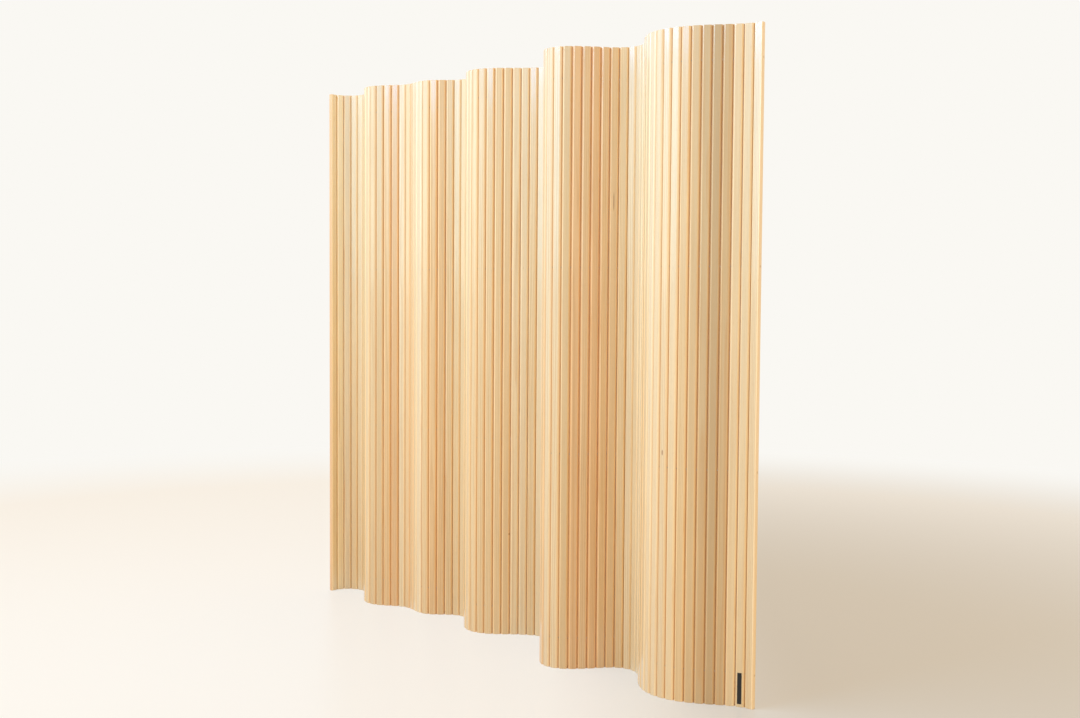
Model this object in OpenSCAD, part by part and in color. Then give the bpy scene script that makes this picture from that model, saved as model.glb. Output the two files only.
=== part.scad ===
// Slat screen: round-edged pine slats side by side on steel wires, standing in waves.
// Millimetres. Z is up, X runs along the screen from its left end to its right end, and the floor is at 0.

/* [Slats] */
// Height of a slat
slat_h = 1500; // [1200:10:1800]
// Thickness of a slat, and so the diameter of its half-round edges
slat_t = 12; // [10:0.5:12.5]
// Distance from the middle of one slat to the middle of the next
pitch = 23; // [22:0.5:28]
// Clear gap between the edges of two slats in line, which lets them turn against each other
slat_gap = 0.4; // [0.4:0.05:1]
// Number of slats
slat_count = 87; // [60:1:87]
// Corner radius on the square outer edge of the two end slats
end_corner_r = 2.5; // [1:0.25:4]

/* [Waves] */
// Depth of the waves: 1 as photographed, 0 pulled out flat
wave_depth = 1; // [0:0.05:1.05]
// Slats that turn less than this against the one before, in degrees, stay in one stiff group
stiff_turn = 13.5; // [13.5:0.5:16]
// Most slats in a stiff group
group_max = 3; // [3:1:4]

/* [Wires] */
// Diameter of a wire
wire_d = 2; // [1.5:0.25:3]
// Number of wires, one above the other
wire_count = 4; // [3:1:5]
// Height of the lowest wire above the slats' lower ends, and depth of the highest below their tops
wire_inset = 75; // [40:5:200]
// Clearance round a wire in the slats' holes
wire_clear = 0.5; // [0.3:0.1:1]
// Wall of the crimped ferrule on each end of a wire
ferrule_wall = 1.5; // [1:0.25:2]
// Length of a ferrule
ferrule_l = 7; // [5:0.5:8]
// Clearance between a crimped ferrule and its wire
crimp_clear = 0.05; // [0.02:0.01:0.1]
// Clearance round a ferrule in its recess, and round a plug
recess_clear = 0.1; // [0.05:0.05:0.3]
// Length of the wooden plug that closes a recess
plug_l = 3.5; // [2:0.5:5]

/* [Label plate] */
// Width of the plate
label_w = 10; // [6:0.5:10]
// Height of the plate
label_h = 70; // [40:1:100]
// Thickness of the plate
label_t = 0.4; // [0.2:0.1:1]
// Height of the plate's lower edge above the slat's lower end
label_up = 7; // [3:1:60]
// How many slats in from the right end the plate sits
label_in = 1; // [0:1:5]

/* [Hidden] */
$fn = 48;
pine = "#E3C493";
steel = "#A9ABAE";
black = "#1B1A19";

// Where the screen swings back, and its heading there: [slats from the left end, degrees from X].
// Between two of these the heading swings over along half a cosine.
swings = [
    [-5, 159], [9.5, -46], [16, 36], [20.5, -17], [24.5, 46], [31, -51],
    [39.5, 45], [52, -66], [53.5, -66], [61.5, 54], [63, 60], [70.5, -49], [83, 35], [91, -33]
];

slat_w = pitch - slat_gap;
edge_r = slat_t / 2;
last_slat = slat_count - 1;

// Heading of a slat at full wave depth
last_swing = len(swings) - 1;
function swing_before(s) = max([for (k = [0 : last_swing - 1]) swings[k][0] <= s ? k : 0]);
function full_heading(slat) =
    let (s = slat + 0.5, k = swing_before(s), a = swings[k], b = swings[k + 1])
    a[1] + (b[1] - a[1]) * (1 - cos(180 * (s - a[0]) / (b[0] - a[0]))) / 2;
headings = [for (i = [0 : last_slat]) wave_depth * full_heading(i)];
function along(i) = [cos(headings[i]), sin(headings[i])];
function across(i) = [-sin(headings[i]), cos(headings[i])];

// Plan of the screen: the line between each two slats, with the two ends, before it is centred
function step(i) = i < slat_count ? pitch * along(i) : [0, 0];
plan = [for (i = 0, p = [0, 0]; i <= slat_count; p = p + step(i), i = i + 1) p];
function middle(i) = (plan[i] + plan[i + 1]) / 2;

// The outline's arcs in plan, as centres with a radius, give the box that the screen is centred on
round_centres = [
    for (i = [0 : last_slat], side = [-1, 1]) middle(i) + side * (slat_w / 2 - edge_r) * along(i)
];
corner_centres = [
    for (i = [0, last_slat], side = [-1, 1])
        middle(i) + (i == 0 ? -1 : 1) * (slat_w / 2 - end_corner_r) * along(i)
            + side * (edge_r - end_corner_r) * across(i)
];
function low(n, centres, r) = min([for (p = centres) p[n]]) - r;
function high(n, centres, r) = max([for (p = centres) p[n]]) + r;
function box_middle(n) = (
    min(low(n, round_centres, edge_r), low(n, corner_centres, end_corner_r))
    + max(high(n, round_centres, edge_r), high(n, corner_centres, end_corner_r))
) / 2;
centre = [box_middle(0), box_middle(1)];

// Stiff groups: a slat's number in its group, and each group's first slat
function turn_before(i) = full_heading(i) - full_heading(i - 1);
function joins_next(i, n) = i < last_slat && abs(turn_before(i + 1)) < stiff_turn && n < group_max;
places = [for (i = 0, n = 1; i < slat_count; n = joins_next(i, n) ? n + 1 : 1, i = i + 1) n];
starts = [for (i = [0 : last_slat]) if (places[i] == 1) i];
group_count = len(starts);
function group_last(g) = g < group_count - 1 ? starts[g + 1] - 1 : last_slat;

// Wires: heights, and how far in from an end slat's outer edge the wire and its ferrule end
wire_step = (slat_h - 2 * wire_inset) / (wire_count - 1);
wire_heights = [for (k = [0 : wire_count - 1]) wire_inset + k * wire_step];
wire_hole_d = wire_d + 2 * wire_clear;
ferrule_d = wire_d + 2 * ferrule_wall;
recess_d = ferrule_d + 2 * recess_clear;
ferrule_in = plug_l + recess_clear;
recess_l = ferrule_in + ferrule_l;
wire_sides = 8;
cut_past = 1; // How far a cut runs past the face that it opens

function group_name(g) = str("slats_", g < 9 ? "0" : "", g + 1);
function wire_name(k) = str("wire_", k + 1);

// A slat's own frame: X along the screen, Y to its back, Z up from the floor, origin in its middle
module at_slat(i) {
    spot = middle(i) - centre;
    translate([spot[0], spot[1], 0]) rotate([0, 0, headings[i]]) children();
}

// Anything that lies along a slat's X, at each wire, measured inwards from the outer edge of an end slat
module at_wire_ends(i) {
    at_slat(i) for (z = wire_heights)
        translate([(i == 0 ? -1 : 1) * slat_w / 2, 0, z]) rotate([0, i == 0 ? 90 : -90, 0]) children();
}

module slat_outline(i) {
    square([slat_w - slat_t, slat_t], center = true);
    for (side = [-1, 1]) translate([side * (slat_w / 2 - edge_r), 0]) circle(r = edge_r);
    if (i == 0 || i == last_slat) rotate(i == 0 ? 180 : 0) square_edge();
}

module square_edge() {
    translate([0, -edge_r + end_corner_r]) square([slat_w / 2, slat_t - 2 * end_corner_r]);
    translate([0, -edge_r]) square([slat_w / 2 - end_corner_r, slat_t]);
    for (side = [-1, 1])
        translate([slat_w / 2 - end_corner_r, side * (edge_r - end_corner_r)]) circle(r = end_corner_r);
}

module slat(i) {
    difference() {
        at_slat(i) linear_extrude(slat_h) slat_outline(i);
        at_slat(i) for (z = wire_heights)
            translate([0, 0, z]) rotate([0, 90, 0])
                cylinder(d = wire_hole_d, h = slat_w + 2 * cut_past, center = true);
        if (i == 0 || i == last_slat)
            at_wire_ends(i) translate([0, 0, -cut_past])
                cylinder(d = recess_d, h = recess_l + cut_past);
    }
}

module slats(g) {
    color(pine) for (i = [starts[g] : group_last(g)]) slat(i);
}

// One wire through every slat, as a tube with a mitred ring on each line between two slats
module wire(k) {
    ends = [
        middle(0) - (slat_w / 2 - ferrule_in) * along(0),
        middle(last_slat) + (slat_w / 2 - ferrule_in) * along(last_slat)
    ];
    route = [for (i = [0 : slat_count]) (i == 0 ? ends[0] : i == slat_count ? ends[1] : plan[i]) - centre];
    before = [for (i = [0 : slat_count]) headings[max(i - 1, 0)]];
    after = [for (i = [0 : slat_count]) headings[min(i, last_slat)]];
    rings = [
        for (i = [0 : slat_count], s = [0 : wire_sides - 1])
            let (
                mean = (before[i] + after[i]) / 2,
                out = wire_d / 2 * cos(360 * s / wire_sides) / cos((after[i] - before[i]) / 2)
            )
            [
                route[i][0] - out * sin(mean),
                route[i][1] + out * cos(mean),
                wire_heights[k] + wire_d / 2 * sin(360 * s / wire_sides)
            ]
    ];
    function at(i, s) = i * wire_sides + s % wire_sides;
    walls = [
        for (i = [0 : last_slat], s = [0 : wire_sides - 1], half = [0, 1])
            half == 0 ? [at(i, s), at(i + 1, s), at(i + 1, s + 1)]
                      : [at(i, s), at(i + 1, s + 1), at(i, s + 1)]
    ];
    caps = [
        for (s = [1 : wire_sides - 2], side = [0, 1])
            side == 0 ? [at(0, 0), at(0, s), at(0, s + 1)]
                      : [at(slat_count, 0), at(slat_count, s + 1), at(slat_count, s)]
    ];
    color(steel) polyhedron(rings, concat(walls, caps));
}

module ferrules(i) {
    color(steel) at_wire_ends(i) translate([0, 0, ferrule_in]) difference() {
        cylinder(d = ferrule_d, h = ferrule_l);
        translate([0, 0, -cut_past])
            cylinder(d = wire_d + 2 * crimp_clear, h = ferrule_l + 2 * cut_past);
    }
}

module end_plugs(i) {
    color(pine) at_wire_ends(i) cylinder(d = recess_d - 2 * recess_clear, h = plug_l);
}

module label_plate() {
    color(black) at_slat(last_slat - label_in)
        translate([-label_w / 2, -slat_t / 2 - label_t, label_up]) cube([label_w, label_t, label_h]);
}

for (g = [0 : group_count - 1]) slats(g);
for (k = [0 : wire_count - 1]) wire(k);
ferrules(0);  // ferrules_left
ferrules(last_slat);  // ferrules_right
end_plugs(0);  // end_plugs_left
end_plugs(last_slat);  // end_plugs_right
label_plate();
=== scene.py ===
# Pine slat screen: the looks of its slats, wires, ferrules, plugs and label plate.
# Metres. Z is up, X runs along the screen from its left end to its right end, and the floor is at 0.
import math
import random

import bmesh
import bpy
from mathutils import Euler, Matrix, Vector


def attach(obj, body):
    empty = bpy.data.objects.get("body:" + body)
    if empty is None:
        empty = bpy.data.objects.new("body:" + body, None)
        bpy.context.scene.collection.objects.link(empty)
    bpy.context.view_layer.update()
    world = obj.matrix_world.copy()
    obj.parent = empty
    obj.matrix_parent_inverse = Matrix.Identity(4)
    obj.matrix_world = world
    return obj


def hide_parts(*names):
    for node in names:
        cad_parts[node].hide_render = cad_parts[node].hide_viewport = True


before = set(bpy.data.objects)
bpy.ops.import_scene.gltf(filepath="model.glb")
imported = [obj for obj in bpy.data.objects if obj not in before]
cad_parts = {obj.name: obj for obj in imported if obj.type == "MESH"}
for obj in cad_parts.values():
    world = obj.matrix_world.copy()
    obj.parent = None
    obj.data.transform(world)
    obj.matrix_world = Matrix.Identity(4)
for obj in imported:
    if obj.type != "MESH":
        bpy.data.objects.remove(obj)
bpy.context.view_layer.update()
scene = bpy.context.scene

slatSize = {
    "count": 87,
    "height": 1.500,
    "thickness": 0.012,
    "pitch": 0.023,  # from the middle of one slat to the middle of the next
    "gap": 0.0004,  # clear space between the round edges of two slats in line
    "edgeTurn": (15, 60),  # degrees that an edge's two round cuts have turned, at the tip and at the face
    "crest": 0.00015,  # how far the tip of an edge stands proud, where its two cuts meet
    "endCorner": 0.0025,  # corner radius on the outer edge of the two end slats
    "arris": 0.0007,  # how far the sanded ends are eased
    "roundSteps": 9,  # facets in one of an edge's two round cuts
    "sharp": 24,  # degrees between two facets past which their line stays crisp
}
wireSize = {
    "width": 0.002,
    "count": 4,
    "inset": 0.075,  # from the slats' ends to the first and the last wire
    "holeSpace": 0.0005,  # clearance round a wire in its hole
    "holeSides": 20,
    "sides": 16,
    "sharp": 50,
    "jointSpace": 0.00026,  # where a stretch stops short of the line between two sections
}
endSize = {
    "ferruleWidth": 0.005,
    "ferruleBore": 0.0021,
    "ferruleLength": 0.007,
    "ferruleSides": 36,
    "plugWidth": 0.005,
    "plugLength": 0.0035,
    "plugSides": 28,
    "recessSpace": 0.0001,  # clearance round a ferrule or a plug
    "recessSides": 28,
    "ease": 0.0004,  # eased edges of a ferrule and of a plug's inner end
    "plugRim": 0.0002,  # eased rim of a plug's outer end
    "pressFrom": 0.0058,  # the band that the crimping jaws pressed, measured in from the slat's outer edge
    "pressTo": 0.0088,
    "pressDepth": 0.08,  # share of the radius that a jaw pressed in
    "pressRun": 0.0006,  # how softly the pressed band begins and ends
    "jaws": 6,
    "sharp": 35,
}
labelSize = {
    "width": 0.010,
    "height": 0.070,
    "thickness": 0.0004,
    "up": 0.007,  # from the slat's lower end
    "slat": 85,
    "corner": 0.0008,
    "cornerSteps": 6,
    "bevel": 0.00015,  # eased rim of its face
    "sharp": 35,
}

# Where the screen swings back, and its heading there: slats from the left end, degrees from X
swings = (
    (-5, 159), (9.5, -46), (16, 36), (20.5, -17), (24.5, 46), (31, -51),
    (39.5, 45), (52, -66), (53.5, -66), (61.5, 54), (63, 60), (70.5, -49), (83, 35), (91, -33),
)
stiffTurn = 13.5  # slats that turn less than this, in degrees, share a section
mostInSection = 3


# Headings, plan and sections, by the same rule as the frame
def headingOf(slat):
    spot = slat + 0.5
    before = max(k for k in range(len(swings) - 1) if swings[k][0] <= spot)
    (start, first), (end, second) = swings[before], swings[before + 1]
    share = (1 - math.cos(math.pi * (spot - start) / (end - start))) / 2
    return math.radians(first + (second - first) * share)


slatWidth = slatSize["pitch"] - slatSize["gap"]
roundEdge = slatSize["thickness"] / 2
lastSlat = slatSize["count"] - 1
headings = [headingOf(slat) for slat in range(slatSize["count"])]


def alongSlat(slat):
    return Vector((math.cos(headings[slat]), math.sin(headings[slat]), 0))


def acrossSlat(slat):
    return Vector((-math.sin(headings[slat]), math.cos(headings[slat]), 0))


plan = [Vector((0, 0, 0))]
for slat in range(slatSize["count"]):
    plan.append(plan[-1] + slatSize["pitch"] * alongSlat(slat))


def middleOf(slat):
    return (plan[slat] + plan[slat + 1]) / 2


# The screen is centred by the box of its outline's arcs, each a centre with a radius
arcs = []
for slat in range(slatSize["count"]):
    for side in (-1, 1):
        arcs.append((middleOf(slat) + side * (slatWidth / 2 - roundEdge) * alongSlat(slat), roundEdge))
for slat, outwards in ((0, -1), (lastSlat, 1)):
    for side in (-1, 1):
        inLength = outwards * (slatWidth / 2 - slatSize["endCorner"]) * alongSlat(slat)
        inDepth = side * (roundEdge - slatSize["endCorner"]) * acrossSlat(slat)
        arcs.append((middleOf(slat) + inLength + inDepth, slatSize["endCorner"]))
lowest = Vector([min(spot[n] - radius for spot, radius in arcs) for n in (0, 1)] + [0])
highest = Vector([max(spot[n] + radius for spot, radius in arcs) for n in (0, 1)] + [0])
plan = [spot - (lowest + highest) / 2 for spot in plan]

sections = [[0]]
for slat in range(1, slatSize["count"]):
    turn = math.degrees(abs(headings[slat] - headings[slat - 1]))
    if turn < stiffTurn and len(sections[-1]) < mostInSection:
        sections[-1].append(slat)
    else:
        sections.append([slat])
sectionNames = [f"section_{number:02d}" for number in range(1, len(sections) + 1)]
wireStep = (slatSize["height"] - 2 * wireSize["inset"]) / (wireSize["count"] - 1)
wireHeights = [wireSize["inset"] + wireStep * number for number in range(wireSize["count"])]
wireHole = wireSize["width"] + 2 * wireSize["holeSpace"]
recessWidth = endSize["ferruleWidth"] + 2 * endSize["recessSpace"]
ferruleIn = endSize["plugLength"] + endSize["recessSpace"]
print("plan worked out:", len(sections), "sections of slats")


# One small function adds a node with its settings and links
def addNode(tree, kind, settings=None, inputs=None):
    node = tree.nodes.new(kind)
    for name, value in (settings or {}).items():
        setattr(node, name, value)
    for name, value in (inputs or {}).items():
        if isinstance(value, bpy.types.Node):
            tree.links.new(value.outputs[0], node.inputs[name])
        elif isinstance(value, bpy.types.NodeSocket):
            tree.links.new(value, node.inputs[name])
        else:
            node.inputs[name].default_value = value
    return node


def hexColour(code):
    parts = [int(code[place:place + 2], 16) / 255 for place in (1, 3, 5)]
    return [part / 12.92 if part <= 0.04045 else ((part + 0.055) / 1.055) ** 2.4 for part in parts] + [1]


def newTree(name, inputs):
    tree = bpy.data.node_groups.new(name, "GeometryNodeTree")
    tree.interface.new_socket(name="Geometry", in_out="INPUT", socket_type="NodeSocketGeometry")
    tree.interface.new_socket(name="Geometry", in_out="OUTPUT", socket_type="NodeSocketGeometry")
    for label, kind in inputs.items():
        tree.interface.new_socket(name=label, in_out="INPUT", socket_type=kind)
    return tree, tree.nodes.new("NodeGroupInput").outputs


def meshFromTree(name, start, tree, values):
    worker = bpy.data.objects.new(name, start)
    scene.collection.objects.link(worker)
    modifier = worker.modifiers.new(tree.name, "NODES")
    modifier.node_group = tree
    for item in tree.interface.items_tree:
        if item.in_out == "INPUT" and item.name in values:
            modifier[item.identifier] = values[item.name]
    bpy.context.view_layer.update()
    graph = bpy.context.evaluated_depsgraph_get()
    made = bpy.data.meshes.new_from_object(
        worker.evaluated_get(graph), preserve_all_data_layers=True, depsgraph=graph)
    worker.modifiers.remove(modifier)
    worker.data = made
    made.name = name
    return worker


# The slat: a moulded bar with round edges, holes for the wires, and a recess at each wire in an end slat
def slatShapeTree():
    tree, given = newTree("slatShape", {
        "Width": "NodeSocketFloat", "Thickness": "NodeSocketFloat", "Outer Corner": "NodeSocketFloat",
        "Tip Turn": "NodeSocketFloat", "Face Turn": "NodeSocketFloat", "Crest": "NodeSocketFloat",
        "Steps": "NodeSocketInt", "Hole": "NodeSocketFloat", "Hole Sides": "NodeSocketInt",
        "Wires": "NodeSocketInt", "Wire Inset": "NodeSocketFloat", "Wire Step": "NodeSocketFloat",
        "Has Recess": "NodeSocketBool", "Recess": "NodeSocketFloat", "Recess Sides": "NodeSocketInt",
        "Recess Depth": "NodeSocketFloat",
    })
    half = addNode(tree, "ShaderNodeMath", {"operation": "MULTIPLY"}, {0: given["Thickness"], 1: 0.5})
    halfWidth = addNode(tree, "ShaderNodeMath", {"operation": "MULTIPLY"}, {0: given["Width"], 1: 0.5})
    outline = addNode(tree, "GeometryNodeCurvePrimitiveQuadrilateral", None,
                      {"Width": given["Width"], "Height": given["Thickness"]})
    spot = addNode(tree, "ShaderNodeSeparateXYZ", None, {0: tree.nodes.new("GeometryNodeInputPosition")})
    outside = addNode(tree, "FunctionNodeCompare", {"operation": "GREATER_THAN"}, {0: spot.outputs["X"]})
    radius = addNode(tree, "GeometryNodeSwitch", {"input_type": "FLOAT"},
                     {"Switch": outside, "False": half, "True": given["Outer Corner"]})
    rounded = addNode(tree, "GeometryNodeFilletCurve", {"mode": "POLY"},
                      {"Curve": outline, "Count": given["Steps"], "Radius": radius})

    # A round edge is two flat arcs that meet each other and each face in a crisp line
    isSquare = addNode(tree, "FunctionNodeBooleanMath", {"operation": "AND"},
                       {0: outside, 1: given["Has Recess"]})
    isRound = addNode(tree, "FunctionNodeBooleanMath", {"operation": "NOT"}, {0: isSquare})
    sideOf = addNode(tree, "ShaderNodeMath", {"operation": "SIGN"}, {0: spot.outputs["X"]})
    faceOf = addNode(tree, "ShaderNodeMath", {"operation": "SIGN"}, {0: spot.outputs["Y"]})
    tipSine = addNode(tree, "ShaderNodeMath", {"operation": "SINE"}, {0: given["Tip Turn"]})
    tipCosine = addNode(tree, "ShaderNodeMath", {"operation": "COSINE"}, {0: given["Tip Turn"]})
    faceSine = addNode(tree, "ShaderNodeMath", {"operation": "SINE"}, {0: given["Face Turn"]})
    rise = addNode(tree, "ShaderNodeMath", {"operation": "SUBTRACT"}, {0: faceSine, 1: tipSine})
    arcRadius = addNode(tree, "ShaderNodeMath", {"operation": "DIVIDE"}, {0: half, 1: rise})
    height = addNode(tree, "ShaderNodeMath", {"operation": "ABSOLUTE"}, {0: spot.outputs["Y"]})
    ratio = addNode(tree, "ShaderNodeMath", {"operation": "DIVIDE", "use_clamp": True},
                    {0: height, 1: half})
    quarterTurn = addNode(tree, "ShaderNodeMath", {"operation": "ARCSINE"}, {0: ratio})
    turn = addNode(tree, "ShaderNodeMapRange", None, {
        0: quarterTurn, 1: 0.0, 2: math.pi / 2, 3: given["Tip Turn"], 4: given["Face Turn"]})
    turnSine = addNode(tree, "ShaderNodeMath", {"operation": "SINE"}, {0: turn})
    turnCosine = addNode(tree, "ShaderNodeMath", {"operation": "COSINE"}, {0: turn})
    outOfTip = addNode(tree, "ShaderNodeMath", {"operation": "SUBTRACT"}, {0: turnSine, 1: tipSine})
    upwards = addNode(tree, "ShaderNodeMath", {"operation": "MULTIPLY"}, {0: arcRadius, 1: outOfTip})
    roundY = addNode(tree, "ShaderNodeMath", {"operation": "MULTIPLY"}, {0: upwards, 1: faceOf})
    backOfTip = addNode(tree, "ShaderNodeMath", {"operation": "SUBTRACT"}, {0: turnCosine, 1: tipCosine})
    roundX = addNode(tree, "ShaderNodeMath", {"operation": "MULTIPLY_ADD"},
                     {0: arcRadius, 1: backOfTip, 2: halfWidth})
    signedX = addNode(tree, "ShaderNodeMath", {"operation": "MULTIPLY"}, {0: roundX, 1: sideOf})
    roundSpot = addNode(tree, "ShaderNodeCombineXYZ", None, {"X": signedX, "Y": roundY})
    moulded = addNode(tree, "GeometryNodeSetPosition", None,
                      {"Geometry": rounded, "Selection": isRound, "Position": roundSpot})

    # The line in which the two arcs meet stands a little proud and nearly touches the next slat's
    inMiddle = addNode(tree, "FunctionNodeCompare", {"operation": "LESS_THAN"}, {0: height, 1: 1e-5})
    proud = addNode(tree, "ShaderNodeMath", {"operation": "MULTIPLY"}, {0: sideOf, 1: given["Crest"]})
    proudMove = addNode(tree, "ShaderNodeCombineXYZ", None, {"X": proud})
    crested = addNode(tree, "GeometryNodeSetPosition", None,
                      {"Geometry": moulded, "Selection": inMiddle, "Offset": proudMove})
    rail = addNode(tree, "GeometryNodeMeshToCurve", None, {"Mesh": given["Geometry"]})
    bar = addNode(tree, "GeometryNodeCurveToMesh", None,
                  {"Curve": rail, "Profile Curve": crested, "Fill Caps": True})
    whole = addNode(tree, "GeometryNodeMergeByDistance", None, {"Geometry": bar, "Distance": 1e-5})

    # The ends are eased: each ring draws in towards the line that joins the centres of the two round edges
    inset = addNode(tree, "GeometryNodeInputNamedAttribute", {"data_type": "FLOAT"}, {"Name": "inset"})
    share = addNode(tree, "ShaderNodeMath", {"operation": "DIVIDE"}, {0: inset, 1: half})
    core = addNode(tree, "ShaderNodeMath", {"operation": "SUBTRACT"}, {0: halfWidth, 1: half})
    otherCore = addNode(tree, "ShaderNodeMath", {"operation": "MULTIPLY"}, {0: core, 1: -1.0})
    nearest = addNode(tree, "ShaderNodeClamp", None,
                      {"Value": spot.outputs["X"], "Min": otherCore, "Max": core})
    inX = addNode(tree, "ShaderNodeMath", {"operation": "SUBTRACT"}, {0: nearest, 1: spot.outputs["X"]})
    inY = addNode(tree, "ShaderNodeMath", {"operation": "MULTIPLY"}, {0: spot.outputs["Y"], 1: -1.0})
    inwards = addNode(tree, "ShaderNodeCombineXYZ", None, {"X": inX, "Y": inY})
    move = addNode(tree, "ShaderNodeVectorMath", {"operation": "SCALE"}, {0: inwards, "Scale": share})
    eased = addNode(tree, "GeometryNodeSetPosition", None, {"Geometry": whole, "Offset": move})

    start = addNode(tree, "ShaderNodeCombineXYZ", None, {"Z": given["Wire Inset"]})
    step = addNode(tree, "ShaderNodeCombineXYZ", None, {"Z": given["Wire Step"]})
    wires = addNode(tree, "GeometryNodeMeshLine", None,
                    {"Count": given["Wires"], "Start Location": start, "Offset": step})
    holeRadius = addNode(tree, "ShaderNodeMath", {"operation": "MULTIPLY"}, {0: given["Hole"], 1: 0.5})
    holeLength = addNode(tree, "ShaderNodeMath", {"operation": "MULTIPLY"},
                         {0: given["Width"], 1: 1.2})  # past both edges
    drill = addNode(tree, "GeometryNodeMeshCylinder", None,
                    {"Vertices": given["Hole Sides"], "Radius": holeRadius, "Depth": holeLength})
    holes = addNode(tree, "GeometryNodeInstanceOnPoints", None,
                    {"Points": wires, "Instance": drill, "Rotation": (0, math.pi / 2, 0)})
    recessRadius = addNode(tree, "ShaderNodeMath", {"operation": "MULTIPLY"}, {0: given["Recess"], 1: 0.5})
    recessLength = addNode(tree, "ShaderNodeMath", {"operation": "MULTIPLY"},
                           {0: given["Recess Depth"], 1: 2.0})
    cutter = addNode(tree, "GeometryNodeMeshCylinder", None,
                     {"Vertices": given["Recess Sides"], "Radius": recessRadius, "Depth": recessLength})
    outwards = addNode(tree, "ShaderNodeCombineXYZ", None, {"X": halfWidth})
    placed = addNode(tree, "GeometryNodeTransform", None,
                     {"Geometry": cutter, "Translation": outwards, "Rotation": (0, math.pi / 2, 0)})
    recesses = addNode(tree, "GeometryNodeInstanceOnPoints", None, {"Points": wires, "Instance": placed})
    used = addNode(tree, "GeometryNodeSwitch", {"input_type": "GEOMETRY"},
                   {"Switch": given["Has Recess"], "True": recesses})
    realHoles = addNode(tree, "GeometryNodeRealizeInstances", None, {"Geometry": holes})
    realRecesses = addNode(tree, "GeometryNodeRealizeInstances", None, {"Geometry": used})
    bored = addNode(tree, "GeometryNodeMeshBoolean", {"operation": "DIFFERENCE"},
                    {"Mesh 1": eased, "Mesh 2": realHoles})
    tree.links.new(realRecesses.outputs[0], bored.inputs["Mesh 2"])
    kept = addNode(tree, "GeometryNodeStoreNamedAttribute", {"data_type": "FLOAT_VECTOR"}, {
        "Geometry": bored, "Name": "slatPlace", "Value": tree.nodes.new("GeometryNodeInputPosition")})
    addNode(tree, "NodeGroupOutput", None, {0: kept})
    return tree


# A row of slats: one on each point, turned to its heading
def slatRowTree():
    tree, given = newTree("slatRow", {
        "Slat": "NodeSocketObject", "End Slat": "NodeSocketObject", "Material": "NodeSocketMaterial",
    })
    heading = addNode(tree, "GeometryNodeInputNamedAttribute", {"data_type": "FLOAT"}, {"Name": "heading"})
    isEnd = addNode(tree, "GeometryNodeInputNamedAttribute", {"data_type": "BOOLEAN"}, {"Name": "isEnd"})
    notEnd = addNode(tree, "FunctionNodeBooleanMath", {"operation": "NOT"}, {0: isEnd})
    turned = addNode(tree, "ShaderNodeCombineXYZ", None, {"Z": heading})
    turn = addNode(tree, "FunctionNodeEulerToRotation", None, {0: turned})
    rows = []
    for label, chosen in (("Slat", notEnd), ("End Slat", isEnd)):
        shape = addNode(tree, "GeometryNodeObjectInfo", None, {"Object": given[label], "As Instance": True})
        rows.append(addNode(tree, "GeometryNodeInstanceOnPoints", None, {
            "Points": given["Geometry"], "Selection": chosen,
            "Instance": shape.outputs["Geometry"], "Rotation": turn,
        }))
    joined = addNode(tree, "GeometryNodeJoinGeometry", None, {0: rows[0]})
    tree.links.new(rows[1].outputs[0], joined.inputs[0])
    real = addNode(tree, "GeometryNodeRealizeInstances", None, {"Geometry": joined})
    finished = addNode(tree, "GeometryNodeSetMaterial", None,
                       {"Geometry": real, "Material": given["Material"]})
    addNode(tree, "NodeGroupOutput", None, {0: finished})
    return tree


# Stretches of wire along their paths
def wireTree():
    tree, given = newTree("wireStretches", {
        "Width": "NodeSocketFloat", "Sides": "NodeSocketInt", "Material": "NodeSocketMaterial",
    })
    radius = addNode(tree, "ShaderNodeMath", {"operation": "MULTIPLY"}, {0: given["Width"], 1: 0.5})
    section = addNode(tree, "GeometryNodeCurvePrimitiveCircle", None,
                      {"Resolution": given["Sides"], "Radius": radius})
    path = addNode(tree, "GeometryNodeMeshToCurve", None, {"Mesh": given["Geometry"]})
    tube = addNode(tree, "GeometryNodeCurveToMesh", None,
                   {"Curve": path, "Profile Curve": section, "Fill Caps": True})
    real = addNode(tree, "GeometryNodeRealizeInstances", None, {"Geometry": tube})
    finished = addNode(tree, "GeometryNodeSetMaterial", None,
                       {"Geometry": real, "Material": given["Material"]})
    addNode(tree, "NodeGroupOutput", None, {0: finished})
    return tree


# A mesh of points, or of points joined in runs, with its own values on each point
def pointMesh(name, points, runs=(), **values):
    mesh = bpy.data.meshes.new(name)
    edges = [(number, number + 1) for first, last in runs for number in range(first, last)]
    mesh.from_pydata([tuple(point) for point in points], edges, [])
    kinds = {float: ("FLOAT", "value"), bool: ("BOOLEAN", "value"), tuple: ("FLOAT_COLOR", "color")}
    for label, column in values.items():
        kind, field = kinds[type(column[0])]
        layer = mesh.attributes.new(label, kind, "POINT")
        for number, value in enumerate(column):
            setattr(layer.data[number], field, value)
    return mesh


def markSharp(mesh, degrees):
    mesh.polygons.foreach_set("use_smooth", [True] * len(mesh.polygons))
    mesh.set_sharp_from_angle(angle=math.radians(degrees))


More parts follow.
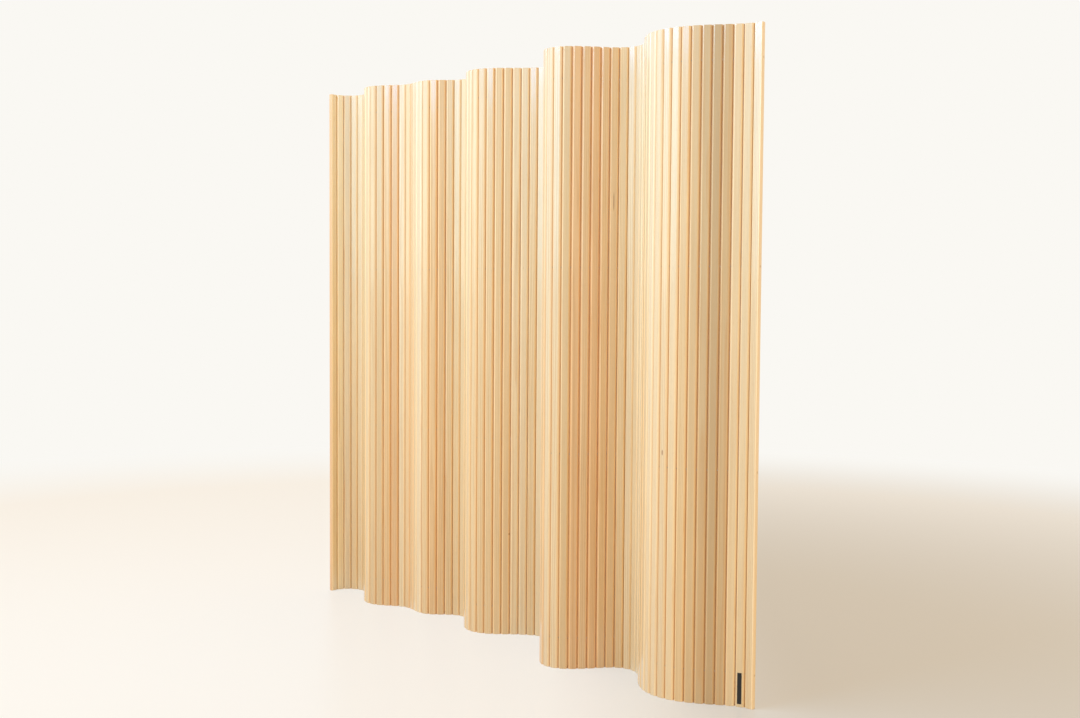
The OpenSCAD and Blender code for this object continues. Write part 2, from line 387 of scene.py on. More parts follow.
shapeTree = slatShapeTree()
slatShapes = []
tipTurn, faceTurn = [math.radians(degrees) for degrees in slatSize["edgeTurn"]]
for shapeName, outerCorner, hasRecess in (
    ("slatShape", roundEdge, False), ("endSlatShape", slatSize["endCorner"], True),
):
    top, arris = slatSize["height"], slatSize["arris"]
    rings = [(0, arris), (arris * 0.3, arris * 0.3), (arris, 0.0)]
    rings = rings + [(top - up, inset) for up, inset in reversed(rings)]
    railMesh = pointMesh("rail", [(0, 0, up) for up, inset in rings], [(0, len(rings) - 1)],
                         inset=[float(inset) for up, inset in rings])
    slatShapes.append(meshFromTree(shapeName, railMesh, shapeTree, {
        "Width": slatWidth, "Thickness": slatSize["thickness"], "Outer Corner": outerCorner,
        "Tip Turn": tipTurn, "Face Turn": faceTurn, "Crest": slatSize["crest"],
        "Steps": slatSize["roundSteps"], "Hole": wireHole, "Hole Sides": wireSize["holeSides"],
        "Wires": wireSize["count"], "Wire Inset": wireSize["inset"], "Wire Step": wireStep,
        "Has Recess": hasRecess, "Recess": recessWidth, "Recess Sides": endSize["recessSides"],
        "Recess Depth": ferruleIn + endSize["ferruleLength"],
    }))


# Planed and moulded pine under clear satin lacquer: straight growth lines that wrap round the edges, and
# a soft sheen. The lines are the shells of a tree whose heart lies outside the slat, so they meet as arcs
# on the ends.
pineLook = {
    "ringGap": (1.3, 2.5),  # millimetres between growth lines, narrowest and widest slat
    "heartSide": 55.0,  # millimetres that the tree's heart may lie to either side of a slat's middle
    "heartDepth": (22.0, 85.0),  # millimetres from the slat to the tree's heart
    "lean": 0.008,  # how far a trunk leans against the slat
    "wander": 4.0,  # millimetres that a growth line strays on its way up
    "lateWood": "#C99A5F",  # laid over the early wood in each growth line
    "lateStrength": (0.25, 0.6),  # faintest and strongest slat
    "lateStart": 0.25,  # how much late wood there is where one line ends and the next begins
    "lateRise": ((0.08, 0.0), (0.5, 0.12), (0.82, 0.8), (0.92, 1.0)),  # place in a line, late wood there
    "wanderSteps": (0.03, 0.03, 0.002),  # repeats of a pattern in a millimetre, across, through and up
    "fibreSteps": (2.4, 2.4, 0.025),  # fibres 0.4 mm wide and 40 mm long
    "toneSteps": (0.12, 0.12, 0.004),  # the slow change of tone along a plank
    "toneSpread": (0.9, 1.1),
    "bandSteps": (0.25, 0.25, 0.001),  # bands 4 mm wide that run the whole slat
    "bandTint": (1.0, 0.975, 0.93),  # the rosier of the broad bands that run along a slat
    "fleck": "#B98A52",  # resin canals
    "fleckSteps": (1.7, 1.7, 0.07),
    "fleckShare": 0.45,
    "paintedEdgeHighlight": 1.2,  # painted highlight: how much paler the moulded edges are painted
    "paintedHighlightRun": (6.5, 6.8),  # millimetres from a slat's middle where they begin
    "creaseShadeTone": "#CC8540",  # painted shade, darker and warmer, in the crease where two slats meet
    "creaseShadeShare": 0.6,
    "creaseShadeRun": (9.7, 11.2),
    "endTone": "#C9A470",
    "endShare": 0.6,
    "plugSeed": 0.37,
    "knotHeart": "#A9744A",
    "knotRing": "#85552F",
    "knotHeartRun": (0.3, 0.7),  # from where to where they fade, where 1 is the knot's rim
    "knotRingRun": (0.7, 1.3),
    "knotReach": 4.0,  # how far round a knot the growth lines are pushed aside
    "roughness": (0.38, 0.48),
    "ior": 1.5,
    "coat": 1.0,
    "coatRoughness": 0.17,
    "fibreHeight": 0.00004,
}


def pineMaterial(name, seeded):
    material = bpy.data.materials.new(name)
    material.use_nodes = True
    tree = material.node_tree
    tree.nodes.clear()
    look = pineLook
    if seeded:
        place = addNode(tree, "ShaderNodeAttribute", {"attribute_name": "slatPlace"}).outputs["Vector"]
        seed = addNode(tree, "ShaderNodeAttribute", {"attribute_name": "slatSeed"}).outputs["Fac"]
        early = addNode(tree, "ShaderNodeAttribute", {"attribute_name": "slatColour"}).outputs["Color"]
    else:
        place = addNode(tree, "ShaderNodeTexCoord").outputs["Object"]
        seed = addNode(tree, "ShaderNodeValue").outputs[0]
        seed.default_value = look["plugSeed"]
        early = addNode(tree, "ShaderNodeRGB").outputs[0]
        early.default_value = hexColour(woodTones["straw"])
    spot = addNode(tree, "ShaderNodeVectorMath", {"operation": "SCALE"}, {0: place, "Scale": 1000.0})
    parts = addNode(tree, "ShaderNodeSeparateXYZ", None, {0: spot})

    # A pin knot or resin pocket: how far a spot is from its middle, where 1 is its rim
    mark = addNode(tree, "ShaderNodeAttribute", {"attribute_name": "slatMark"})
    markAt = addNode(tree, "ShaderNodeSeparateColor", None, {0: mark.outputs["Color"]})
    markX = addNode(tree, "ShaderNodeMath", {"operation": "SUBTRACT"}, {
        0: parts.outputs["X"], 1: markAt.outputs[0]})
    markZ = addNode(tree, "ShaderNodeMath", {"operation": "SUBTRACT"}, {
        0: parts.outputs["Z"], 1: markAt.outputs[1]})
    inWidth = addNode(tree, "ShaderNodeMath", {"operation": "DIVIDE"}, {0: markX, 1: markAt.outputs[2]})
    inHeight = addNode(tree, "ShaderNodeMath", {"operation": "DIVIDE"}, {
        0: markZ, 1: mark.outputs["Alpha"]})
    markFlat = addNode(tree, "ShaderNodeCombineXYZ", None, {"X": inWidth, "Y": inHeight})
    markAway = addNode(tree, "ShaderNodeVectorMath", {"operation": "LENGTH"}, {0: markFlat})
    markNear = addNode(tree, "ShaderNodeMapRange", {"interpolation_type": "SMOOTHSTEP"}, {
        0: markAway.outputs["Value"], 1: 0.0, 2: look["knotReach"], 3: 1.0, 4: 0.0})
    markSide = addNode(tree, "ShaderNodeMath", {"operation": "SIGN"}, {0: markX})
    markPush = addNode(tree, "ShaderNodeMath", {"operation": "MULTIPLY"}, {0: markNear, 1: markSide})

    # Each slat has its own tree: where its heart lies, how it leans and how far its lines are apart
    chance = addNode(tree, "ShaderNodeTexWhiteNoise", {"noise_dimensions": "1D"}, {"W": seed})
    chances = addNode(tree, "ShaderNodeSeparateColor", None, {0: chance.outputs["Color"]})
    heartX = addNode(tree, "ShaderNodeMapRange", None, {
        0: chances.outputs[0], 3: -look["heartSide"], 4: look["heartSide"]})
    heartY = addNode(tree, "ShaderNodeMapRange", None, {
        0: chances.outputs[1], 3: look["heartDepth"][0], 4: look["heartDepth"][1]})
    lean = addNode(tree, "ShaderNodeMapRange", None, {
        0: chances.outputs[2], 3: -look["lean"], 4: look["lean"]})
    ringGap = addNode(tree, "ShaderNodeMapRange", None, {
        0: chance.outputs["Value"], 3: look["ringGap"][0], 4: look["ringGap"][1]})
    heart = addNode(tree, "ShaderNodeCombineXYZ", None, {"X": heartX, "Y": heartY})
    leaned = addNode(tree, "ShaderNodeMath", {"operation": "MULTIPLY_ADD"}, {
        0: parts.outputs["Z"], 1: lean, 2: parts.outputs["X"]})
    leaned = addNode(tree, "ShaderNodeMath", {"operation": "SUBTRACT"}, {0: leaned, 1: markPush})
    flat = addNode(tree, "ShaderNodeCombineXYZ", None, {"X": leaned, "Y": parts.outputs["Y"]})
    away = addNode(tree, "ShaderNodeVectorMath", {"operation": "DISTANCE"}, {0: flat, 1: heart})

    # The lines wander slowly along the slat
    shift = addNode(tree, "ShaderNodeMath", {"operation": "MULTIPLY"}, {0: seed, 1: 700.0})
    own = addNode(tree, "ShaderNodeCombineXYZ", None, {"X": shift, "Y": shift, "Z": shift})
    drift = addNode(tree, "ShaderNodeVectorMath", {"operation": "MULTIPLY_ADD"}, {
        0: spot, 1: look["wanderSteps"], 2: own})
    wander = addNode(tree, "ShaderNodeTexNoise", None, {"Vector": drift, "Scale": 1.0, "Detail": 2.0})
    wandered = addNode(tree, "ShaderNodeMath", {"operation": "MULTIPLY_ADD"}, {
        0: wander.outputs["Fac"], 1: look["wander"], 2: away.outputs["Value"]})
    count = addNode(tree, "ShaderNodeMath", {"operation": "DIVIDE"}, {0: wandered, 1: ringGap})
    line = addNode(tree, "ShaderNodeMath", {"operation": "FRACT"}, {0: count})
    late = addNode(tree, "ShaderNodeValToRGB", None, {"Fac": line})
    ramp = late.color_ramp.elements
    for stop in ramp:
        stop.color = [look["lateStart"]] * 3 + [1]
    for along, strength in look["lateRise"]:
        ramp.new(along).color = [strength] * 3 + [1]
    strong = addNode(tree, "ShaderNodeMapRange", None, {
        0: chances.outputs[0], 3: look["lateStrength"][0], 4: look["lateStrength"][1]})
    lateShare = addNode(tree, "ShaderNodeMath", {"operation": "MULTIPLY"}, {0: late, 1: strong})
    withLines = addNode(tree, "ShaderNodeMix", {"data_type": "RGBA", "blend_type": "MIX"}, {
        0: lateShare, 6: early, 7: hexColour(look["lateWood"])})

    # Fibres, and the slow change of tone along a plank
    fibrePlace = addNode(tree, "ShaderNodeVectorMath", {"operation": "MULTIPLY_ADD"}, {
        0: spot, 1: look["fibreSteps"], 2: own})
    fibre = addNode(tree, "ShaderNodeTexNoise", None, {"Vector": fibrePlace, "Scale": 1.0, "Detail": 3.0})
    slowPlace = addNode(tree, "ShaderNodeVectorMath", {"operation": "MULTIPLY_ADD"}, {
        0: spot, 1: look["toneSteps"], 2: own})
    slow = addNode(tree, "ShaderNodeTexNoise", None, {"Vector": slowPlace, "Scale": 1.0, "Detail": 2.0})
    darkest, palest = look["toneSpread"]
    fibreTone = addNode(tree, "ShaderNodeMapRange", None, {0: fibre.outputs["Fac"], 3: darkest, 4: palest})
    slowTone = addNode(tree, "ShaderNodeMapRange", None, {0: slow.outputs["Fac"], 3: darkest, 4: palest})
    bothTones = addNode(tree, "ShaderNodeMath", {"operation": "MULTIPLY"}, {0: fibreTone, 1: slowTone})
    toned = addNode(tree, "ShaderNodeVectorMath", {"operation": "SCALE"}, {
        0: withLines.outputs[2], "Scale": bothTones})

    # Broad bands, a little rosier than the rest
    bandPlace = addNode(tree, "ShaderNodeVectorMath", {"operation": "MULTIPLY_ADD"}, {
        0: spot, 1: look["bandSteps"], 2: own})
    band = addNode(tree, "ShaderNodeTexNoise", None, {"Vector": bandPlace, "Scale": 1.0, "Detail": 1.0})
    bandShare = addNode(tree, "ShaderNodeMapRange", {"interpolation_type": "SMOOTHSTEP"}, {
        0: band.outputs["Fac"], 1: 0.4, 2: 0.6})
    rosier = addNode(tree, "ShaderNodeVectorMath", {"operation": "MULTIPLY"}, {
        0: toned, 1: look["bandTint"]})
    banded = addNode(tree, "ShaderNodeMix", {"data_type": "RGBA"}, {0: bandShare, 6: toned, 7: rosier})

    # Resin canals: short fine streaks
    canalPlace = addNode(tree, "ShaderNodeVectorMath", {"operation": "MULTIPLY_ADD"}, {
        0: spot, 1: look["fleckSteps"], 2: own})
    canal = addNode(tree, "ShaderNodeTexNoise", None, {"Vector": canalPlace, "Scale": 1.0, "Detail": 1.0})
    canalShare = addNode(tree, "ShaderNodeMapRange", None, {
        0: canal.outputs["Fac"], 1: 0.68, 2: 0.78, 3: 0.0, 4: look["fleckShare"]})
    flecked = addNode(tree, "ShaderNodeMix", {"data_type": "RGBA"}, {
        0: canalShare, 6: banded.outputs[2], 7: hexColour(look["fleck"])})

    # The knot: a brown heart in a darker ring that fades into the wood
    ringShare = addNode(tree, "ShaderNodeMapRange", {"interpolation_type": "SMOOTHSTEP"}, {
        0: markAway.outputs["Value"], 1: look["knotRingRun"][0], 2: look["knotRingRun"][1],
        3: 0.8, 4: 0.0})
    heartShare = addNode(tree, "ShaderNodeMapRange", {"interpolation_type": "SMOOTHSTEP"}, {
        0: markAway.outputs["Value"], 1: look["knotHeartRun"][0], 2: look["knotHeartRun"][1],
        3: 1.0, 4: 0.0})
    knot = addNode(tree, "ShaderNodeMix", {"data_type": "RGBA"}, {
        0: heartShare, 6: hexColour(look["knotRing"]), 7: hexColour(look["knotHeart"])})
    knotted = addNode(tree, "ShaderNodeMix", {"data_type": "RGBA"}, {
        0: ringShare if seeded else 0.0, 6: flecked.outputs[2], 7: knot.outputs[2]})

    # The ends are sawn across the fibres and drink more lacquer
    facing = addNode(tree, "ShaderNodeSeparateXYZ", None, {
        0: addNode(tree, "ShaderNodeNewGeometry").outputs["Normal"]})
    upright = addNode(tree, "ShaderNodeMath", {"operation": "ABSOLUTE"}, {0: facing.outputs["Z"]})
    endShare = addNode(tree, "ShaderNodeMapRange", None, {
        0: upright, 1: 0.55, 2: 0.9, 3: 0.0, 4: look["endShare"]})
    ended = addNode(tree, "ShaderNodeMix", {"data_type": "RGBA"}, {
        0: endShare, 6: knotted.outputs[2], 7: hexColour(look["endTone"])})

    # Painted highlight: the moulded edges are painted a little paler than the planed faces, for the light
    # that catches them
    sideways = addNode(tree, "ShaderNodeMath", {"operation": "ABSOLUTE"}, {0: parts.outputs["X"]})
    highlightPaint = addNode(tree, "ShaderNodeMapRange", None, {
        0: sideways, 1: look["paintedHighlightRun"][0], 2: look["paintedHighlightRun"][1],
        3: 1.0, 4: look["paintedEdgeHighlight"] if seeded else 1.0})
    moulded = addNode(tree, "ShaderNodeVectorMath", {"operation": "SCALE"}, {
        0: ended.outputs[2], "Scale": highlightPaint})

    # Painted shade: where two slats meet, the wood is painted darker and warmer, as the crease between them
    # looks in shade, and so is the left end's outer edge, but not the right end's
    creaseShadeShare = addNode(tree, "ShaderNodeMapRange", None, {
        0: sideways, 1: look["creaseShadeRun"][0], 2: look["creaseShadeRun"][1],
        3: 0.0, 4: look["creaseShadeShare"] if seeded else 0.0})
    outer = addNode(tree, "ShaderNodeMath", {"operation": "GREATER_THAN"}, {0: parts.outputs["X"], 1: 0.0})
    paleEdge = addNode(tree, "ShaderNodeAttribute", {"attribute_name": "paleEdge"})
    isPale = addNode(tree, "ShaderNodeMath", {"operation": "MULTIPLY"}, {
        0: outer, 1: paleEdge.outputs["Fac"]})
    creaseShadeMask = addNode(tree, "ShaderNodeMath", {"operation": "SUBTRACT", "use_clamp": True}, {
        0: creaseShadeShare, 1: isPale})
    coloured = addNode(tree, "ShaderNodeMix", {"data_type": "RGBA"}, {
        0: creaseShadeMask, 6: moulded, 7: hexColour(look["creaseShadeTone"])})

    rough = addNode(tree, "ShaderNodeMapRange", None, {
        0: fibre.outputs["Fac"], 3: look["roughness"][0], 4: look["roughness"][1]})
    relief = addNode(tree, "ShaderNodeMath", {"operation": "MULTIPLY_ADD"}, {
        0: lateShare, 1: 0.6, 2: fibre.outputs["Fac"]})
    bump = addNode(tree, "ShaderNodeBump", None, {
        "Height": relief, "Strength": 0.5, "Distance": look["fibreHeight"]})
    shader = addNode(tree, "ShaderNodeBsdfPrincipled", None, {
        "Base Color": coloured.outputs[2], "Roughness": rough, "Normal": bump, "IOR": look["ior"],
        "Coat Weight": look["coat"], "Coat Roughness": look["coatRoughness"]})
    addNode(tree, "ShaderNodeOutputMaterial", None, {"Surface": shader})
    return material


# Bright drawn steel wire: cool grey with a blurred sheen, as the die leaves it, and short faint streaks
steelLook = {
    "bright": "#A9ABAE",
    "dull": "#8D9094",
    "roughness": (0.28, 0.42),
    "grain": 0.0011,  # size of a streak
    "relief": 0.00001,
    "metallic": 1.0,
}
# Pressed aluminium ferrule: paler and duller than the wire, with the soft matt skin that pressing leaves
aluminiumLook = {
    "bright": "#C9CBCC",
    "dull": "#B2B4B6",
    "roughness": (0.35, 0.5),
    "grain": 0.0014,
    "relief": 0.00002,
    "metallic": 1.0,
}
# Satin black foil of the label plate: near black, with a fine even tooth that breaks up its reflections
foilLook = {
    "bright": "#1A1918",
    "dull": "#121110",
    "roughness": (0.38, 0.5),
    "grain": 0.0004,
    "relief": 0.00001,
    "metallic": 0.0,
}


def smoothMaterial(name, look):
    material = bpy.data.materials.new(name)
    material.use_nodes = True
    tree = material.node_tree
    tree.nodes.clear()
    place = addNode(tree, "ShaderNodeTexCoord").outputs["Object"]
    noise = addNode(tree, "ShaderNodeTexNoise", None, {
        "Vector": place, "Scale": 1 / look["grain"], "Detail": 3.0})
    mixed = addNode(tree, "ShaderNodeMix", {"data_type": "RGBA"}, {
        0: noise.outputs["Fac"], 6: hexColour(look["bright"]), 7: hexColour(look["dull"])})
    rough = addNode(tree, "ShaderNodeMapRange", None, {
        0: noise.outputs["Fac"], 3: look["roughness"][0], 4: look["roughness"][1]})
    bump = addNode(tree, "ShaderNodeBump", None, {
        "Height": noise.outputs["Fac"], "Strength": 0.4, "Distance": look["relief"]})
    shader = addNode(tree, "ShaderNodeBsdfPrincipled", None, {
        "Base Color": mixed.outputs[2], "Roughness": rough, "Metallic": look["metallic"], "Normal": bump})
    addNode(tree, "ShaderNodeOutputMaterial", None, {"Surface": shader})
    return material


# Tones of pine, named for the part of the log; the numbers are the slats that show one plainly
woodTones = {
    "straw": "#E3CBA0", "sapwood": "#E8D6B2", "heartwood": "#E2C394", "amber": "#E1BD8E",
    "rosy": "#E4C79C", "olive": "#DAC298", "smoky": "#CFB890", "umber": "#C6B08A", "cream": "#F0E0B9",
}
toneSlats = {
    "cream": (0, 1),
    "sapwood": (2, 4, 17, 21, 40, 41, 43, 44, 57, 58, 66, 67, 74, 75, 76, 77, 78, 84, 85, 86),
    "straw": (3, 5, 12, 22, 25, 26, 27, 35, 36, 37, 38, 39, 42, 65, 79),
    "rosy": (19, 55, 56, 61, 63),
    "heartwood": (15, 18, 23, 24, 64),
    "amber": (16, 60, 62),
    "olive": (13, 14, 59, 80),
    # Smoky and umber, on slats 81 to 83, are partly their own darker wood and partly painted shade, for
    # where the screen turns away from the light
    "smoky": (81, 83),
    "umber": (82,),
}
# The few marks: slat, then millimetres across and up, half width and half height
slatMarks = {
    39: (9.2, 270.0, 1.4, 2.4),  # pin knot
    77: (-4.6, 558.0, 1.8, 6.0),  # small knot
    64: (-4.6, 1133.0, 1.0, 21.0),  # resin pocket
}
noMark = (0.0, -1000.0, 1.0, 1.0)
draws = random.Random(20)
slatColours, slatSeeds = [], []
for slat in range(slatSize["count"]):
    named = [tone for tone, slats in toneSlats.items() if slat in slats]
    toneName = named[0] if named else draws.choice(("straw", "straw", "sapwood", "rosy"))
    lightness = draws.uniform(0.98, 1.02)
    slatColours.append(tuple([lightness * part for part in hexColour(woodTones[toneName])[:3]] + [1.0]))
    slatSeeds.append(draws.random())

pine = pineMaterial("lacqueredPine", True)
plugPine = pineMaterial("turnedPine", False)  # the same pine, turned: one even tone and no darker edges
steel = smoothMaterial("drawnSteel", steelLook)
aluminium = smoothMaterial("pressedAluminium", aluminiumLook)
blackFoil = smoothMaterial("satinBlackFoil", foilLook)
print("materials made")


# Finishes a piece: its body and the nodes that it stands for
def settle(piece, body, nodes):
    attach(piece, body)
    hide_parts(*nodes)


# Slats, one row for each section
rowTree = slatRowTree()
for number, slats in enumerate(sections):
    spots = pointMesh(
        "slatSpots", [middleOf(slat) for slat in slats],
        heading=[headings[slat] + (math.pi if slat == 0 else 0.0) for slat in slats],
        isEnd=[slat in (0, lastSlat) for slat in slats],
        paleEdge=[float(slat == lastSlat) for slat in slats],
        slatSeed=[slatSeeds[slat] for slat in slats],
        slatColour=[slatColours[slat] for slat in slats],
        slatMark=[slatMarks.get(slat, noMark) for slat in slats],
    )
    row = meshFromTree(f"pine_slats_{number + 1:02d}", spots, rowTree, {
        "Slat": slatShapes[0], "End Slat": slatShapes[1], "Material": pine})
    markSharp(row.data, slatSize["sharp"])
    settle(row, sectionNames[number], [f"slats_{number + 1:02d}"])
for shape in slatShapes:
    bpy.data.objects.remove(shape)
print("slats made")

# Wires: a stretch of each in every section, so that they bend with the screen
stretchTree = wireTree()
rootNumber = sectionNames.index("section_27")
for number, slats in enumerate(sections):
    route = [plan[slat] for slat in slats] + [plan[slats[-1] + 1]]
    firstIn = slatSize["gap"] / 2 + ferruleIn if slats[0] == 0 else wireSize["jointSpace"]
    lastIn = slatSize["gap"] / 2 + ferruleIn if slats[-1] == lastSlat else wireSize["jointSpace"]
    route[0] = route[0] + firstIn * alongSlat(slats[0])
    route[-1] = route[-1] - lastIn * alongSlat(slats[-1])
    points = [spot + Vector((0, 0, up)) for up in wireHeights for spot in route]
    runs = [(first, first + len(route) - 1) for first in range(0, len(points), len(route))]
    stretches = meshFromTree(f"wire_stretches_{number + 1:02d}", pointMesh("wirePaths", points, runs),
                             stretchTree, {"Width": wireSize["width"], "Sides": wireSize["sides"],
                                           "Material": steel})
    markSharp(stretches.data, wireSize["sharp"])
    nodes = [f"wire_{wire + 1}" for wire in range(wireSize["count"])] if number == rootNumber else []
    settle(stretches, sectionNames[number], nodes)
print("wires made")


# A turned piece at each wire: outline points are (distance in from the slat's outer edge, radius, pressed)
def turnedPieces(name, slat, outlines, material, sides):
    inwards = alongSlat(slat) if slat == 0 else -alongSlat(slat)
    outer = middleOf(slat) - inwards * slatWidth / 2
    sideways = Vector((0, 0, 1)).cross(inwards)
    bm = bmesh.new()
    for up in wireHeights:
        rings = []
        for depth, radius, pressed in outlines:
            ring = []
            for side in range(sides):
                angle = 2 * math.pi * side / sides
                reach = radius * (1 - pressed * max(0, math.cos(endSize["jaws"] * angle)))
                ring.append(bm.verts.new(outer + depth * inwards + reach * math.cos(angle) * sideways
                                         + Vector((0, 0, up + reach * math.sin(angle)))))
            rings.append(ring)
        closed = outlines[0] == outlines[-1]
        for one, two in zip(rings, rings[1:]):
            for side in range(sides):
                bm.faces.new((one[side], one[side - 1], two[side - 1], two[side]))
        if not closed:
            bm.faces.new(rings[0])
            bm.faces.new(rings[-1])
    bmesh.ops.remove_doubles(bm, verts=bm.verts, dist=1e-6)
    bmesh.ops.recalc_face_normals(bm, faces=bm.faces)
    mesh = bpy.data.meshes.new(name)
    bm.to_mesh(mesh)
    bm.free()
    mesh.materials.append(material)
    piece = bpy.data.objects.new(name, mesh)
    scene.collection.objects.link(piece)
    markSharp(mesh, endSize["sharp"])
    return piece


ferruleRadius, boreRadius = endSize["ferruleWidth"] / 2, endSize["ferruleBore"] / 2
lengthIn, ease, run = ferruleIn + endSize["ferruleLength"], endSize["ease"], endSize["pressRun"]
ferruleOutline = [
    (ferruleIn, boreRadius, 0), (ferruleIn, ferruleRadius - ease, 0), (ferruleIn + ease, ferruleRadius, 0),
    (endSize["pressFrom"] - run, ferruleRadius, 0),
    (endSize["pressFrom"], ferruleRadius, endSize["pressDepth"]),
    (endSize["pressTo"], ferruleRadius, endSize["pressDepth"]),
    (endSize["pressTo"] + run, ferruleRadius, 0),
    (lengthIn - ease, ferruleRadius, 0), (lengthIn, ferruleRadius - ease, 0), (lengthIn, boreRadius, 0),
    (ferruleIn, boreRadius, 0),
]
plugRadius, plugRim = endSize["plugWidth"] / 2, endSize["plugRim"]
plugOutline = [
    (0, plugRadius - plugRim, 0), (plugRim, plugRadius, 0), (endSize["plugLength"] - ease, plugRadius, 0),
    (endSize["plugLength"], plugRadius - ease, 0),
]
for slat, sideName, body in ((0, "left", sectionNames[0]), (lastSlat, "right", sectionNames[-1])):
    ferrules = turnedPieces(f"crimped_ferrules_{sideName}", slat, ferruleOutline, aluminium,
                            endSize["ferruleSides"])
    settle(ferrules, body, [f"ferrules_{sideName}"])
    plugs = turnedPieces(f"pine_plugs_{sideName}", slat, plugOutline, plugPine, endSize["plugSides"])
    settle(plugs, body, [f"end_plugs_{sideName}"])
print("ferrules and plugs made")

# Label plate: a bare black plate with eased corners on the front of a slat
plateSlat = labelSize["slat"]
cornerSteps = labelSize["cornerSteps"]
bm = bmesh.new()
outline = []
for quarter, (sideX, sideZ) in enumerate(((1, 1), (-1, 1), (-1, -1), (1, -1))):
    for step in range(cornerSteps + 1):
        angle = math.pi / 2 * (quarter + step / cornerSteps)
        outline.append((
            sideX * (labelSize["width"] / 2 - labelSize["corner"]) + labelSize["corner"] * math.cos(angle),
            sideZ * (labelSize["height"] / 2 - labelSize["corner"]) + labelSize["corner"] * math.sin(angle)))
plateMiddle = middleOf(plateSlat) + Vector((0, 0, labelSize["up"] + labelSize["height"] / 2))
rings = []
for depth, inset in (
    (0.0, 0.0), (labelSize["thickness"] * 0.6, 0.0), (labelSize["thickness"], labelSize["bevel"]),
):
    forwards = -acrossSlat(plateSlat) * (roundEdge + depth)
    ring = []
    for sideX, up in outline:
        narrow = (1 - 2 * inset / labelSize["width"]) * sideX
        short = (1 - 2 * inset / labelSize["height"]) * up
        spot = plateMiddle + forwards + narrow * alongSlat(plateSlat) + Vector((0, 0, short))
        ring.append(bm.verts.new(spot))
    rings.append(ring)
for one, two in zip(rings, rings[1:]):
    for side in range(len(outline)):
        bm.faces.new((one[side - 1], one[side], two[side], two[side - 1]))
bm.faces.new(rings[0])
bm.faces.new(rings[-1])
bmesh.ops.recalc_face_normals(bm, faces=bm.faces)
plateMesh = bpy.data.meshes.new("black_label_plate")
bm.to_mesh(plateMesh)
bm.free()
plateMesh.materials.append(blackFoil)
plate = bpy.data.objects.new("black_label_plate", plateMesh)
scene.collection.objects.link(plate)
markSharp(plateMesh, labelSize["sharp"])
plateBody = next(name for name, slats in zip(sectionNames, sections) if plateSlat in slats)
settle(plate, plateBody, ["label_plate"])
print("label plate made")

# Stage: a pale floor that fades into the background colour
stageLook = {
    "floor": "#F1EEE8",
    "background": "#FAF8F3",
    "fadeFrom": 1.1,
    "fadeTo": 4.5,
    "radius": 60.0,
    "sides": 96,
    "roughness": 0.3,
    "shadeTowards": (0.7, 0.7, 0.0),  # the side away from the windows
    "shadeFrom": 0.05,
    "shadeTo": 0.75,
    "shade": "#BFBAB0",
    "lift": 0.6,  # share of a plain tone in the floor that the camera sees, so that it looks pale
    "worldLight": 0.975,
    "worldColour": "#FFDAA2",
}
bpy.ops.mesh.primitive_circle_add(
    vertices=stageLook["sides"], radius=stageLook["radius"], fill_type="NGON")
floor = bpy.context.object
floor.name = "studio_floor"
floorMaterial = bpy.data.materials.new("paleFloor")
floorMaterial.use_nodes = True
floorTree = floorMaterial.node_tree
floorTree.nodes.clear()
floorPlace = addNode(floorTree, "ShaderNodeTexCoord").outputs["Object"]
reach = addNode(floorTree, "ShaderNodeVectorMath", {"operation": "LENGTH"}, {0: floorPlace})
fade = addNode(floorTree, "ShaderNodeMapRange", {"interpolation_type": "SMOOTHSTEP"}, {
    0: reach.outputs["Value"], 1: stageLook["fadeFrom"], 2: stageLook["fadeTo"]})
floorPaint = addNode(floorTree, "ShaderNodeBsdfPrincipled", None, {
    "Base Color": hexColour(stageLook["floor"]), "Roughness": stageLook["roughness"]})
floorSide = addNode(floorTree, "ShaderNodeVectorMath", {"operation": "DOT_PRODUCT"}, {
    0: floorPlace, 1: stageLook["shadeTowards"]})
shadeShare = addNode(floorTree, "ShaderNodeMapRange", {"interpolation_type": "SMOOTHSTEP"}, {
    0: floorSide.outputs["Value"], 1: stageLook["shadeFrom"], 2: stageLook["shadeTo"]})
stillNear = addNode(floorTree, "ShaderNodeMath", {"operation": "SUBTRACT", "use_clamp": True}, {
    0: shadeShare, 1: fade})
floorTone = addNode(floorTree, "ShaderNodeMix", {"data_type": "RGBA"}, {
    0: stillNear, 6: hexColour(stageLook["background"]), 7: hexColour(stageLook["shade"])})
floorGlow = addNode(floorTree, "ShaderNodeEmission", None, {
    "Color": floorTone.outputs[2], "Strength": 1.0})
floorRays = addNode(floorTree, "ShaderNodeLightPath")
floorSeen = addNode(floorTree, "ShaderNodeMath", {"operation": "MAXIMUM"}, {
    0: floorRays.outputs["Is Camera Ray"], 1: floorRays.outputs["Is Glossy Ray"]})
liftSeen = addNode(floorTree, "ShaderNodeMath", {"operation": "MULTIPLY"}, {
    0: floorSeen, 1: stageLook["lift"]})
glowShare = addNode(floorTree, "ShaderNodeMath", {"operation": "MAXIMUM"}, {0: fade, 1: liftSeen})
floorMix = addNode(floorTree, "ShaderNodeMixShader", None, {0: glowShare, 1: floorPaint, 2: floorGlow})
addNode(floorTree, "ShaderNodeOutputMaterial", None, {"Surface": floorMix})
floor.data.materials.append(floorMaterial)

world = bpy.data.worlds.new("studio")
scene.world = world
world.use_nodes = True
worldTree = world.node_tree
worldTree.nodes.clear()
rays = addNode(worldTree, "ShaderNodeLightPath")
seen = addNode(worldTree, "ShaderNodeMath", {"operation": "MAXIMUM"}, {
    0: rays.outputs["Is Camera Ray"], 1: rays.outputs["Is Glossy Ray"]})
fill = addNode(worldTree, "ShaderNodeBackground", None, {
    "Color": hexColour(stageLook["worldColour"]), "Strength": stageLook["worldLight"]})
backdrop = addNode(worldTree, "ShaderNodeBackground", None, {
    "Color": hexColour(stageLook["background"]), "Strength": 1.0})
worldMix = addNode(worldTree, "ShaderNodeMixShader", None, {0: seen, 1: fill, 2: backdrop})
addNode(worldTree, "ShaderNodeOutputWorld", None, {"Surface": worldMix})

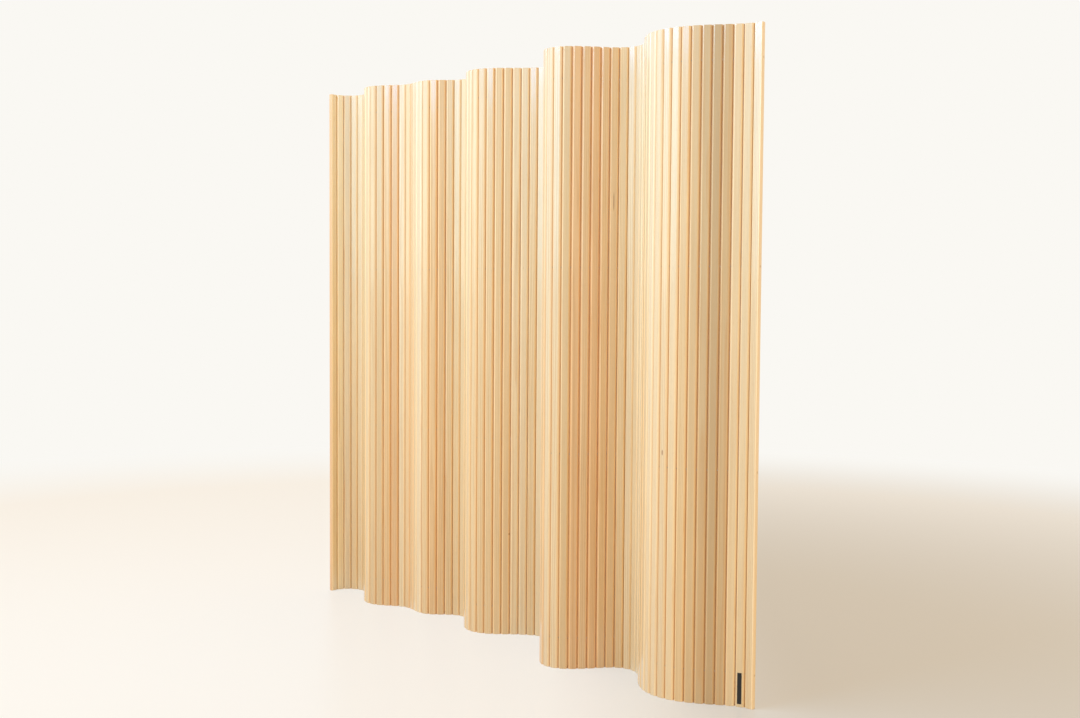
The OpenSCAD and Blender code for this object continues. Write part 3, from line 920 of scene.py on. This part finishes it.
# Light: two soft windows to the left of the camera and a skylight over the front, in a room that glows warm
lightLook = {
    "wide_window": {
        "direction": -92, "distance": 3.3, "high": 2.2, "aimHigh": 0.9, "size": (1.2, 1.8),
        "power": 15.4, "colour": "#A0E4FF",
    },
    "side_window": {
        "direction": -124, "distance": 3.3, "high": 2.0, "aimHigh": 0.9, "size": (2.2, 1.8),
        "power": 19.5, "colour": "#F7FDF0",
    },
    "skylight": {
        "direction": -108, "distance": 1.7, "high": 2.9, "aimHigh": 1.3, "size": (2.4, 0.8),
        "power": 52.0, "colour": "#86C2FF",
    },
}
for name, look in lightLook.items():
    lightData = bpy.data.lights.new(name, "AREA")
    lightData.shape = "RECTANGLE"
    lightData.size, lightData.size_y = look["size"]
    lightData.energy = look["power"]
    lightData.color = hexColour(look["colour"])[:3]
    light = bpy.data.objects.new(name, lightData)
    scene.collection.objects.link(light)
    light.visible_camera = False
    turn = math.radians(look["direction"])
    outwards = Vector((math.cos(turn), math.sin(turn), 0))
    light.location = look["distance"] * outwards + Vector((0, 0, look["high"]))
    towards = Vector((0, 0, look["aimHigh"])) - light.location
    light.rotation_euler = towards.to_track_quat("-Z", "Y").to_euler()

# Camera at the photograph's place
cameraLook = {
    "place": (2.607, -2.408, 0.924),
    "heading": 46.0,  # degrees to the left of looking along Y
    "downwards": 2.96,
    "roll": 0.39,
    "lens": 45.5,
    "sensor": 36.0,
}
cameraData = bpy.data.cameras.new("camera")
cameraData.lens = cameraLook["lens"]
cameraData.sensor_width = cameraLook["sensor"]
cameraData.clip_start, cameraData.clip_end = 0.05, 200.0
camera = bpy.data.objects.new("camera", cameraData)
scene.collection.objects.link(camera)
aimed = Euler((math.radians(90 - cameraLook["downwards"]), 0, math.radians(cameraLook["heading"])))
rolled = Matrix.Rotation(math.radians(cameraLook["roll"]), 4, "Z")
camera.matrix_world = Matrix.Translation(cameraLook["place"]) @ aimed.to_matrix().to_4x4() @ rolled
scene.camera = camera
scene.view_settings.view_transform = "Standard"
